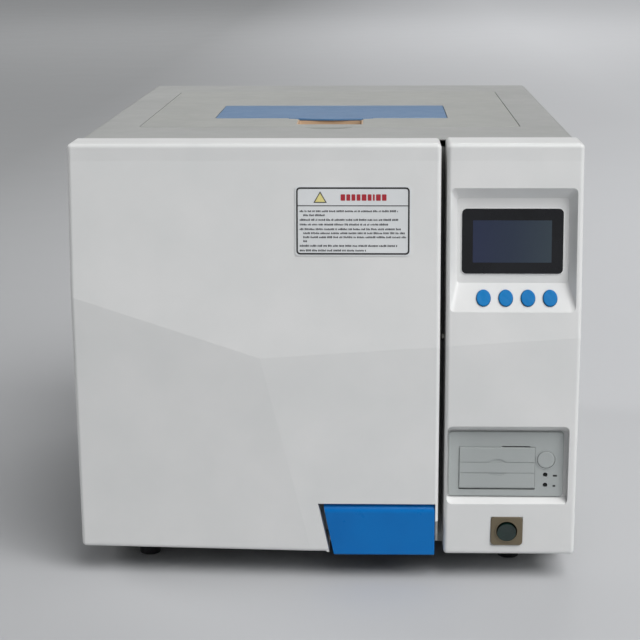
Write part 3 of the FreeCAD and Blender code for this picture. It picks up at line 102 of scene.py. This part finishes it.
class Finish:
    """A procedural material, built up in layers on one Principled shader."""

    def __init__(self, name, metallic=0.0):
        self.material = bpy.data.materials.new(name)
        self.material.use_nodes = True
        self.nodes = self.material.node_tree.nodes
        self.link = self.material.node_tree.links.new
        self.shader = self.nodes["Principled BSDF"]
        self.place = self.nodes.new("ShaderNodeTexCoord").outputs["Object"]
        self.normal = None
        self.set("Metallic", metallic)

    def set(self, socket, value):
        self.shader.inputs[socket].default_value = value

    def stretched(self, stretch):
        """Object space with its own scale on each axis."""
        mapping = self.nodes.new("ShaderNodeMapping")
        mapping.inputs["Scale"].default_value = stretch
        self.link(self.place, mapping.inputs["Vector"])
        return mapping.outputs["Vector"]

    def noise(self, scale, detail=3.0, stretch=(1, 1, 1)):
        texture = self.nodes.new("ShaderNodeTexNoise")
        texture.inputs["Scale"].default_value = scale
        texture.inputs["Detail"].default_value = detail
        self.link(self.stretched(stretch), texture.inputs["Vector"])
        return texture.outputs["Fac"]

    def cells(self, scale, feature="F1"):
        texture = self.nodes.new("ShaderNodeTexVoronoi")
        texture.feature = feature
        texture.inputs["Scale"].default_value = scale
        self.link(self.place, texture.inputs["Vector"])
        return texture.outputs["Distance"]

    def stripes(self, scale, axis):
        texture = self.nodes.new("ShaderNodeTexWave")
        texture.bands_direction = axis
        texture.inputs["Scale"].default_value = scale
        self.link(self.place, texture.inputs["Vector"])
        return texture.outputs["Fac"]

    def along(self, axis, start, end):
        """A factor that goes from 0 to 1 between two places on one axis."""
        split = self.nodes.new("ShaderNodeSeparateXYZ")
        self.link(self.place, split.inputs["Vector"])
        return self.spread(split.outputs[axis], 0.0, 1.0, start, end)

    def spread(self, factor, low, high, start=0.3, end=0.7):
        """Takes a factor between start and end to the range from low to high."""
        spread = self.nodes.new("ShaderNodeMapRange")
        for socket, value in (("From Min", start), ("From Max", end), ("To Min", low), ("To Max", high)):
            spread.inputs[socket].default_value = value
        self.link(factor, spread.inputs["Value"])
        return spread.outputs["Result"]

    def colour(self, factor, *shades):
        """Blends evenly spaced shades by the factor."""
        ramp = self.nodes.new("ShaderNodeValToRGB")
        elements = ramp.color_ramp.elements
        elements[0].color = shades[0]
        elements[1].color = shades[-1]
        for step, shade in enumerate(shades[1:-1], start=1):
            elements.new(step / (len(shades) - 1)).color = shade
        self.link(factor, ramp.inputs["Fac"])
        self.link(ramp.outputs["Color"], self.shader.inputs["Base Color"])

    def roughness(self, factor, low, high):
        self.link(self.spread(factor, low, high), self.shader.inputs["Roughness"])

    def relief(self, factor, depth):
        bump = self.nodes.new("ShaderNodeBump")
        bump.inputs["Distance"].default_value = depth
        self.link(factor, bump.inputs["Height"])
        if self.normal:
            self.link(self.normal, bump.inputs["Normal"])
        self.normal = bump.outputs["Normal"]
        self.link(self.normal, self.shader.inputs["Normal"])

    def coat(self, weight, roughness):
        self.set("Coat Weight", weight)
        self.set("Coat Roughness", roughness)


def moulded(name, dark, light, low=0.38, high=0.5, grain=0.00002):
    """Injection-moulded plastic: a fine spark-eroded grain under faint handling marks."""
    finish = Finish(name)
    drift = finish.noise(14, 5)
    finish.colour(finish.spread(drift, 0.0, 1.0), dark, light)
    finish.roughness(finish.noise(55, 6), low, high)
    finish.relief(finish.noise(22, 2), 0.0002)
    finish.relief(finish.noise(1900, 2), grain)
    return finish


def painted(name, dark, light, low=0.36, high=0.52):
    """Powder coat: an orange-peel surface with a little dust lying in it."""
    finish = Finish(name)
    finish.colour(finish.spread(finish.noise(9, 6), 0.0, 1.0), dark, light)
    finish.roughness(finish.noise(38, 6), low, high)
    finish.relief(finish.cells(620, feature="SMOOTH_F1"), 0.00006)
    finish.relief(finish.noise(6, 2), 0.0006)
    return finish


def brushed(name, dark, light, stretch, low=0.2, high=0.42):
    """Sheet metal with brush lines along the axis whose stretch is small."""
    finish = Finish(name, metallic=1.0)
    lines = finish.noise(420, 4, stretch)
    finish.colour(finish.spread(lines, 0.0, 1.0), dark, light)
    finish.roughness(finish.noise(24, 6), low, high)
    finish.relief(lines, 0.00003)
    return finish


def moulded_white():
    finish = moulded("moulded_white", tint(224, 225, 224), tint(231, 231, 230), 0.36, 0.44)
    finish.coat(0.15, 0.3)
    return finish


def liner_grey():
    return moulded("liner_grey", tint(196, 198, 198), tint(208, 210, 210), 0.45, 0.6)


def zinc_steel():
    """Zinc-plated steel: a crystalline spangle and a faint yellow cast."""
    finish = Finish("zinc_steel", metallic=1.0)
    spangle = finish.cells(160)
    finish.colour(spangle, tint(150, 150, 146), tint(186, 186, 181), tint(204, 203, 196))
    finish.roughness(finish.noise(90, 6), 0.28, 0.46)
    finish.relief(finish.noise(700, 4), 0.00003)
    return finish


def label_film():
    """Polyester film with a soft satin coat."""
    finish = moulded("label_film", tint(222, 225, 226), tint(230, 232, 233), 0.28, 0.36, 0.000006)
    finish.coat(0.35, 0.18)
    return finish


def black_plastic():
    return moulded("black_plastic", tint(24, 25, 27), tint(38, 39, 41), 0.4, 0.56, 0.00004)


def stainless():
    """Brushed sheet with slight waves from rolling."""
    finish = brushed("stainless", tint(168, 169, 168), tint(205, 206, 205), (1.0, 0.03, 1.0), 0.2, 0.36)
    finish.relief(finish.noise(11, 3), 0.0004)
    return finish


def silicone():
    """Milky rubber with a little light scattered inside."""
    finish = moulded("silicone", tint(206, 204, 196), tint(222, 220, 214), 0.42, 0.55, 0.00003)
    finish.set("Subsurface Weight", 0.25)
    finish.set("Subsurface Radius", (0.003, 0.003, 0.0025))
    return finish


def handle_blue():
    """Glossy blue moulding with a shallow ripple and fine rub marks."""
    finish = Finish("handle_blue")
    finish.colour(finish.spread(finish.noise(18, 4), 0.0, 1.0), tint(2, 107, 184), tint(4, 115, 192))
    finish.set("Specular IOR Level", 0.2)
    finish.roughness(finish.noise(70, 7), 0.26, 0.38)
    finish.relief(finish.noise(30, 2), 0.00025)
    finish.relief(finish.noise(2400, 2), 0.000008)
    finish.coat(0.06, 0.12)
    return finish


def flap_blue():
    """The flap's blue has a chalky film, so it pales at a low angle."""
    finish = moulded("flap_blue", tint(72, 116, 160), tint(82, 124, 166), 0.3, 0.42, 0.00003)
    finish.coat(0.3, 0.45)
    return finish


def button_blue():
    finish = moulded("button_blue", tint(3, 116, 184), tint(7, 124, 191), 0.36, 0.48, 0.00003)
    finish.set("Specular IOR Level", 0.2)
    finish.relief(finish.noise(160, 1), 0.0004)
    return finish


def black_rubber():
    finish = moulded("black_rubber", tint(22, 21, 24), tint(36, 35, 38), 0.7, 0.86, 0.00008)
    finish.set("Sheen Weight", 0.2)
    return finish


def cabinet_paint():
    # partly painted shade: the paint's own light grey is darkened to stand in for the shade on the top,
    # which the light only grazes
    finish = painted("cabinet_paint", tint(160, 161, 159), tint(168, 169, 167), 0.44, 0.58)
    finish.set("Specular IOR Level", 0.25)
    return finish


def frame_paint():
    return painted("frame_paint", tint(122, 124, 122), tint(136, 138, 136), 0.42, 0.58)


def cover_grey():
    # partly painted shade: the cover's own light grey is darkened to stand in for the shade on the top,
    # which the light only grazes
    finish = moulded("cover_grey", tint(160, 161, 158), tint(167, 168, 164), 0.46, 0.58)
    finish.set("Specular IOR Level", 0.25)
    return finish


def lens_black():
    """A black-backed acrylic window."""
    finish = Finish("lens_black")
    finish.colour(finish.spread(finish.noise(30, 3), 0.0, 1.0), tint(20, 21, 24), tint(27, 28, 32))
    finish.roughness(finish.noise(120, 6), 0.08, 0.16)
    finish.set("Specular IOR Level", 0.3)
    finish.coat(0.15, 0.05)
    return finish


def screen_blue():
    """The unlit display: a blue-grey that turns greener to the right, in fine rows."""
    finish = Finish("screen_blue")
    across = finish.along("X", *SCREEN_X)
    finish.colour(across, tint(45, 52, 76), tint(48, 57, 74), tint(58, 69, 78))
    finish.roughness(finish.noise(60, 4), 0.12, 0.2)
    finish.relief(finish.stripes(900, "Z"), 0.000004)
    finish.set("Specular IOR Level", 0.3)
    finish.coat(0.1, 0.08)
    return finish


def board_green():
    """Solder mask over copper tracks."""
    finish = Finish("board_green")
    tracks = finish.cells(260, feature="DISTANCE_TO_EDGE")
    finish.colour(finish.spread(tracks, 0.0, 1.0, 0.02, 0.08), tint(70, 128, 78), tint(22, 84, 50))
    finish.roughness(tracks, 0.3, 0.45)
    finish.relief(tracks, 0.0001)
    return finish


def printer_grey():
    return moulded("printer_grey", tint(168, 173, 172), tint(176, 181, 180), 0.42, 0.56, 0.00005)


def paper():
    finish = Finish("paper")
    fibres = finish.noise(1500, 6, (1.0, 0.3, 1.0))
    finish.colour(finish.spread(fibres, 0.0, 1.0), tint(228, 226, 218), tint(242, 241, 235))
    finish.roughness(fibres, 0.75, 0.9)
    finish.relief(finish.stripes(2600, "Y"), 0.00005)
    return finish


def switch_tan():
    return moulded("switch_tan", tint(104, 94, 74), tint(114, 103, 82), 0.35, 0.5, 0.00004)


def rocker_green():
    """Tinted translucent plastic over an unlit lamp."""
    finish = Finish("rocker_green")
    finish.colour(finish.spread(finish.noise(90, 4), 0.0, 1.0), tint(12, 34, 30), tint(22, 50, 44))
    finish.roughness(finish.noise(150, 5), 0.14, 0.28)
    finish.set("Transmission Weight", 0.12)
    finish.set("Coat Weight", 0.4)
    return finish


def heater_red():
    """Woven silicone heating mat."""
    finish = Finish("heater_red")
    weave = finish.cells(420)
    finish.colour(weave, tint(150, 62, 40), tint(186, 84, 54))
    finish.roughness(weave, 0.6, 0.75)
    finish.relief(weave, 0.0003)
    return finish


def insulation():
    """Glass fibre blanket."""
    finish = Finish("insulation")
    fibres = finish.noise(240, 9, (1.0, 0.25, 1.0))
    finish.colour(finish.spread(fibres, 0.0, 1.0), tint(196, 190, 172), tint(226, 222, 208))
    finish.roughness(fibres, 0.85, 0.98)
    finish.relief(fibres, 0.002)
    finish.set("Sheen Weight", 0.4)
    return finish


def tray_aluminium():
    return brushed("tray_aluminium", tint(182, 184, 186), tint(214, 215, 217), (0.04, 1.0, 1.0), 0.3, 0.48)


def tank_plastic():
    """Natural polypropylene: milky, with light scattered inside."""
    finish = moulded("tank_plastic", tint(212, 216, 214), tint(226, 229, 227), 0.36, 0.5, 0.00003)
    finish.set("Subsurface Weight", 0.35)
    finish.set("Subsurface Radius", (0.006, 0.006, 0.007))
    return finish


def scoop_tan():
    return moulded("scoop_tan", tint(190, 164, 136), tint(202, 176, 148), 0.5, 0.65, 0.00004)


def motor_paint():
    return painted("motor_paint", tint(52, 60, 70), tint(66, 74, 84), 0.3, 0.45)


def perforated_case():
    """Plated sheet with rows of small round holes, drawn as dark spots of painted shade and pressed in by a
    bump.
    """
    finish = Finish("perforated_case", metallic=1.0)
    # painted shade: dark spots where the holes would show the unlit inside
    holes_painted_shade = finish.spread(finish.cells(180), 0.0, 1.0, 0.3, 0.34)
    finish.colour(holes_painted_shade, tint(60, 60, 60), tint(192, 192, 190))
    finish.roughness(finish.noise(60, 5), 0.3, 0.45)
    finish.relief(holes_painted_shade, 0.0004)
    return finish


def brass():
    return brushed("brass", tint(178, 142, 78), tint(208, 174, 106), (1.0, 0.2, 1.0), 0.22, 0.4)


def filter_white():
    return moulded("filter_white", tint(216, 218, 218), tint(228, 230, 230), 0.32, 0.44)


def ink(name, colour, low=0.5, high=0.7):
    """Screen-printed ink: a film with a faintly uneven tone."""
    red, green, blue = colour
    finish = Finish(name)
    finish.colour(finish.spread(finish.noise(700, 5), 0.0, 1.0), tint(red, green, blue),
                  tint(red + 10, green + 10, blue + 10))
    finish.roughness(finish.noise(300, 4), low, high)
    return finish


FINISHES = [
    moulded_white, liner_grey, zinc_steel, label_film, black_plastic, stainless, silicone, handle_blue,
    black_rubber, cabinet_paint, frame_paint, lens_black, board_green, printer_grey, paper, switch_tan,
    rocker_green, heater_red, insulation, tray_aluminium, tank_plastic, cover_grey, scoop_tan, flap_blue,
    button_blue, motor_paint, perforated_case, brass, filter_white,
]


def dress_nodes():
    """Gives each CAD node the finish of its slot."""
    made = {make.__name__: make().material for make in FINISHES}
    for subpart in frame["record"]["subparts"]:
        node = frame["nodes"][subpart["node"]]
        node.data.materials.clear()
        node.data.materials.append(made[subpart["material_slot"]])


# ---------------------------------------------------------------- printed and added pieces

def rounded_rectangle(x0, x1, z0, z1, radius, steps=3):
    """The outline's points, anticlockwise as seen from the front."""
    points = []
    for centre_x, centre_z, start in ((x1 - radius, z0 + radius, -90), (x1 - radius, z1 - radius, 0),
                                      (x0 + radius, z1 - radius, 90), (x0 + radius, z0 + radius, 180)):
        for step in range(steps + 1):
            angle = math.radians(start + 90 * step / steps)
            points.append((centre_x + radius * math.cos(angle), centre_z + radius * math.sin(angle)))
    return points


def add_plate(mesh, outline, face_y, thickness=INK):
    """A closed thin plate on the surface at face_y, standing out towards -Y."""
    front = [mesh.verts.new((x, face_y - thickness, z)) for x, z in outline]
    back = [mesh.verts.new((x, face_y, z)) for x, z in outline]
    mesh.faces.new(front)
    mesh.faces.new(back[::-1])
    for index in range(len(outline)):
        after = (index + 1) % len(outline)
        mesh.faces.new((front[after], front[index], back[index], back[after]))


def grown(x_range, z_range, step, radius, steps=3):
    """A rounded rectangle larger by the step on every side, or smaller where the step is negative."""
    return rounded_rectangle(x_range[0] - step, x_range[1] + step, z_range[0] - step, z_range[1] + step,
                             radius, steps)


def add_ring(mesh, outer, inner, face_y, thickness=INK):
    """A closed thin band between two outlines with the same number of points."""
    front_y = face_y - thickness
    loops = []
    for outline, y in ((outer, front_y), (inner, front_y), (inner, face_y), (outer, face_y)):
        loops.append([mesh.verts.new((x, y, z)) for x, z in outline])
    for this, other in zip(loops, loops[1:] + loops[:1]):
        for index in range(len(this)):
            after = (index + 1) % len(this)
            mesh.faces.new((this[index], this[after], other[after], other[index]))


def placed(mesh, name, finish, body, place):
    """Turns a bmesh into a piece of the object that rides on a body."""
    bmesh.ops.recalc_face_normals(mesh, faces=mesh.faces)
    data = bpy.data.meshes.new(name)
    mesh.to_mesh(data)
    mesh.free()
    data.materials.append(finish.material)
    piece = bpy.data.objects.new(name, data)
    bpy.context.scene.collection.objects.link(piece)
    piece.matrix_world = place
    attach(piece, body)
    return piece


def word_marks(mesh, x, end, z, height, dice):
    """A run of small blocks grouped like words, which say nothing."""
    while x < end:
        for _ in range(dice.randint(2, 8)):
            width = height * dice.choice((0.35, 0.5, 0.5, 0.6))
            if x + width > end:
                return
            top = z + height * dice.choice((0.8, 1.0, 1.0, 1.15))
            add_plate(mesh, rounded_rectangle(x, x + width, z, top, height * 0.12, 1), LABEL_FACE_Y)
            x += width + height * 0.2
        x += height * 0.5


def on_label(mesh, name, finish):
    """Puts a mesh on the door's label as its own piece."""
    placed(mesh, name, finish, "door", UPPER_FACET)


def label_border(black):
    """The frame round the label and the thin rule under its heading."""
    inside = LABEL_INSET + LABEL_LINE
    rule_thickness = 0.0008
    rule_z = LABEL_Z[1] - LABEL_HEADER
    border = bmesh.new()
    add_ring(border, grown(LABEL_X, LABEL_Z, -LABEL_INSET, 0.0034), grown(LABEL_X, LABEL_Z, -inside, 0.0022),
             LABEL_FACE_Y)
    add_plate(border, rounded_rectangle(LABEL_X[0] + inside, LABEL_X[1] - inside,
                                        rule_z, rule_z + rule_thickness, 0.0002), LABEL_FACE_Y)
    on_label(border, "label_border", black)


def label_notes():
    """Six notes of word marks, in lines that start and end at shares of the label's width."""
    letter_height = 0.0017
    line_pitch = 0.0038
    note_pitch = 0.0044
    margin = 0.0045
    top_gap = 0.0012
    hanging_indent = 0.03
    line_ends = ((0.89, 0.27), (0.90,), (0.81,), (0.93, 0.95, 0.96, 0.11), (0.89,), (0.62,))
    left, right = LABEL_X
    notes = bmesh.new()
    dice = random.Random(4)
    z = LABEL_Z[1] - LABEL_HEADER - top_gap
    for ends in line_ends:
        for line, end in enumerate(ends):
            z -= line_pitch if line else note_pitch
            start = left + margin + (hanging_indent if line else 0.0) * (right - left)
            word_marks(notes, start, left + end * (right - left), z, letter_height, dice)
    on_label(notes, "label_notes", ink("label_note_ink", (50, 52, 56)))


def label_heading():
    """A row of blocks like a word in capitals."""
    low_z = LABEL_Z[1] - 0.0138
    high_z = LABEL_Z[1] - 0.0078
    gap = 0.0012
    heading = bmesh.new()
    x = LABEL_X[0] + 0.0430
    for width in (0.0042, 0.0036, 0.0036, 0.0036, 0.0044, 0.0036, 0.0018, 0.0044, 0.0042):
        add_plate(heading, rounded_rectangle(x, x + width, low_z, high_z, 0.0006), LABEL_FACE_Y)
        x += width + gap
    on_label(heading, "label_heading", ink("heading_ink", (168, 34, 48)))


def triangle(middle_x, middle_z, size):
    """The corners of an upright triangle, each as far from its middle as the size says."""
    corners = []
    for angle in (math.radians(0), math.radians(240), math.radians(120)):
        corners.append((middle_x + size * math.sin(angle), middle_z + size * math.cos(angle)))
    return corners


def label_symbol(black):
    """A triangle with a blank field."""
    middle = (LABEL_X[0] + 0.0237, LABEL_Z[1] - 0.0122)
    size = 0.0072
    field_size = 0.0056
    outer = triangle(*middle, size)
    inner = triangle(*middle, field_size)
    symbol = bmesh.new()
    add_ring(symbol, outer, inner, LABEL_FACE_Y)
    on_label(symbol, "label_symbol", black)
    field = bmesh.new()
    add_plate(field, inner, LABEL_FACE_Y, INK * 0.6)
    on_label(field, "label_symbol_field", ink("symbol_ink", (226, 214, 140)))


def door_label():
    """What is printed on the label: a frame, six notes, a heading and a triangle, all without words."""
    black = ink("label_ink", (26, 26, 28))
    label_border(black)
    label_notes()
    label_heading()
    label_symbol(black)


def display_screen():
    """The dark screen behind the window, and a thin raised ring round the window, whiter than the moulding:
    a painted highlight on the window's edge.
    """
    rim_highlight_width = 0.0011
    rim_highlight_height = 0.0004
    rim_highlight_gap = 0.00005
    # painted highlight: the ring's whiter colour stands in for light caught on the window's edge
    rim_highlight = bmesh.new()
    add_ring(rim_highlight, grown(LENS_X, LENS_Z, rim_highlight_width, LENS_CORNER + rim_highlight_width, steps=6),
             grown(LENS_X, LENS_Z, rim_highlight_gap, LENS_CORNER + rim_highlight_gap, steps=6), POCKET_FLOOR_Y, rim_highlight_height)
    placed(rim_highlight, "display_rim_highlight", moulded("rim_painted_highlight", tint(240, 241, 240), tint(246, 246, 245)),
           "cabinet", UPPER_FACET)
    screen = bmesh.new()
    add_plate(screen, rounded_rectangle(*SCREEN_X, *SCREEN_Z, 0.0006), LENS_FACE_Y, 0.00008)
    placed(screen, "display_screen", screen_blue(), "cabinet", UPPER_FACET)


def revolved(mesh, profile, x, z, steps=20):
    """Turns a profile of (radius, y) points about an axis along Y, on which its two ends lie."""
    rings = []
    for radius, y in profile[1:-1]:
        ring = []
        for step in range(steps):
            angle = math.tau * step / steps
            ring.append(mesh.verts.new((x + radius * math.cos(angle), y, z + radius * math.sin(angle))))
        rings.append(ring)
    for ring, (_, tip_y) in ((rings[0], profile[0]), (rings[-1], profile[-1])):
        tip = mesh.verts.new((x, tip_y, z))
        for step in range(steps):
            mesh.faces.new((tip, ring[step], ring[(step + 1) % steps]))
    for this, other in zip(rings, rings[1:]):
        for step in range(steps):
            after = (step + 1) % steps
            mesh.faces.new((this[step], this[after], other[after], other[step]))


def status_lamps():
    """Two unlit indicator lamps in their holes, each with a short printed mark beside it."""
    face_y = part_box("printer_body")[0].y + FEED_RIM
    crown_y = face_y + 0.0008
    foot_y = crown_y + LAMP_DEPTH
    lens = ink("lamp_lens", (14, 15, 15), 0.08, 0.16)
    marks = bmesh.new()
    for number, z in enumerate(LAMP_Z, start=1):
        lamp = bmesh.new()
        profile = [(0.0, crown_y)]
        for step in range(1, 6):
            angle = math.radians(18 * step)
            profile.append((LAMP_R * math.sin(angle), crown_y + LAMP_R * (1 - math.cos(angle))))
        profile += [(LAMP_R, foot_y), (0.0, foot_y)]
        revolved(lamp, profile, LAMP_X, z)
        piece = placed(lamp, f"status_lamp_{number}", lens, "cabinet", UPRIGHT)
        piece.data.shade_smooth()
        mark_x = LAMP_X + 0.0074
        mark_length = 0.0054 - 0.0014 * number
        add_plate(marks, rounded_rectangle(mark_x, mark_x + mark_length, z - 0.0018, z, 0.0003), face_y)
    placed(marks, "lamp_marks", ink("lamp_ink", (40, 42, 42)), "cabinet", UPRIGHT)


def rear_plate():
    """A rating plate on the rear panel, blank but for lines of marks."""
    panel_y = -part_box("rear_panel")[1].y
    plate = bmesh.new()
    add_plate(plate, grown(PLATE_X, PLATE_Z, 0.0, 0.003), panel_y, PLATE_THICKNESS)
    film = brushed("plate_film", tint(188, 190, 192), tint(204, 206, 208), (0.02, 1, 1))
    placed(plate, "rating_plate", film, "cabinet", REAR)

    mark_height = 0.0022
    mark_gap = 0.0016
    line_pitch = 0.0058
    margin = 0.006
    marks = bmesh.new()
    dice = random.Random(9)
    z = PLATE_Z[1] - 0.009
    for _ in range(6):
        x = PLATE_X[0] + margin
        end = PLATE_X[0] + dice.uniform(0.035, 0.072)
        while x < end:
            width = dice.uniform(0.002, 0.008)
            add_plate(marks, rounded_rectangle(x, x + width, z, z + mark_height, 0.0004),
                      panel_y - PLATE_THICKNESS)
            x += width + mark_gap
        z -= line_pitch
    placed(marks, "rating_marks", ink("plate_ink", (52, 54, 58)), "cabinet", REAR)


# ---------------------------------------------------------------- stage

def add_floor():
    """A pale seamless floor whose colour darkens a little to the left: painted shade for the side that gets
    less light.
    """
    reach = 40.0
    floor = bmesh.new()
    corners = ((-1, -1), (1, -1), (1, 1), (-1, 1))
    floor.faces.new([floor.verts.new((x * reach, y * reach, 0.0)) for x, y in corners])
    data = bpy.data.meshes.new("floor")
    floor.to_mesh(data)
    floor.free()
    piece = bpy.data.objects.new("floor", data)
    bpy.context.scene.collection.objects.link(piece)
    finish = Finish("floor_paper_painted_shade")
    # painted shade: the floor's colour runs from darker on the left to lighter on the right
    across = finish.along("X", -1.0, 1.0)
    finish.colour(across, tint(154, 155, 156), tint(187, 188, 190), tint(208, 209, 211))
    finish.roughness(finish.noise(4, 4), 0.7, 0.85)
    finish.relief(finish.noise(500, 3), 0.00005)
    data.materials.append(finish.material)


def add_lamp(name, place, size, power, target=(0.0, -0.05, 0.2)):
    """A round softbox that faces the target and isn't seen by the camera."""
    light = bpy.data.lights.new(name, "AREA")
    light.shape = "DISK"
    light.size = size
    light.energy = power
    lamp = bpy.data.objects.new(name, light)
    bpy.context.scene.collection.objects.link(lamp)
    lamp.location = place
    lamp.rotation_euler = (Vector(target) - Vector(place)).to_track_quat("-Z", "Y").to_euler()
    lamp.visible_camera = False


def add_daylight(azimuth, elevation, strength, softness):
    """An even, soft light from one side of the sky. Azimuth 0 is in front and grows to the right."""
    light = bpy.data.lights.new("daylight", "SUN")
    light.energy = strength
    light.angle = math.radians(softness)
    lamp = bpy.data.objects.new("daylight", light)
    bpy.context.scene.collection.objects.link(lamp)
    lamp.rotation_euler = (math.radians(90 - elevation), 0.0, math.radians(azimuth))


def add_lights():
    world = bpy.data.worlds.new("studio")
    world.use_nodes = True
    sky = world.node_tree.nodes["Background"]
    sky.inputs["Color"].default_value = tint(238, 241, 245)
    sky.inputs["Strength"].default_value = 0.16
    bpy.context.scene.world = world
    add_daylight(42, 54, 2.3, 45)
    add_lamp("right_softbox", (1.6, -1.6, 1.45), 0.8, 10)
    add_lamp("left_softbox", (-2.4, 0.6, 1.6), 1.3, 16)
    add_lamp("rear_softbox", (0.5, 1.9, 2.5), 1.2, 12)
    add_lamp("far_softbox", (-0.5, 8.0, 4.0), 3.0, 60, (-0.5, 8.5, 0.0))
    bpy.context.scene.view_settings.view_transform = "Standard"


def add_camera():
    """In front, a little above and looking down. A vertical shift keeps the sides nearly upright."""
    place = (0.0499, -1.7379, 0.6239)
    pitch, yaw, roll = (math.radians(angle) for angle in (11.70, 2.16, -0.31))
    camera = bpy.data.cameras.new("camera")
    camera.sensor_width = 36.0
    camera.lens = 87.47
    camera.shift_y = -0.10
    camera.clip_end = 100.0
    piece = bpy.data.objects.new("camera", camera)
    bpy.context.scene.collection.objects.link(piece)
    piece.matrix_world = (Matrix.Translation(place) @ Matrix.Rotation(yaw, 4, "Z")
                          @ Matrix.Rotation(math.pi / 2 - pitch, 4, "X") @ Matrix.Rotation(roll, 4, "Z"))
    bpy.context.scene.camera = piece


dress_nodes()
door_label()
display_screen()
status_lamps()
rear_plate()
add_floor()
add_lights()
add_camera()
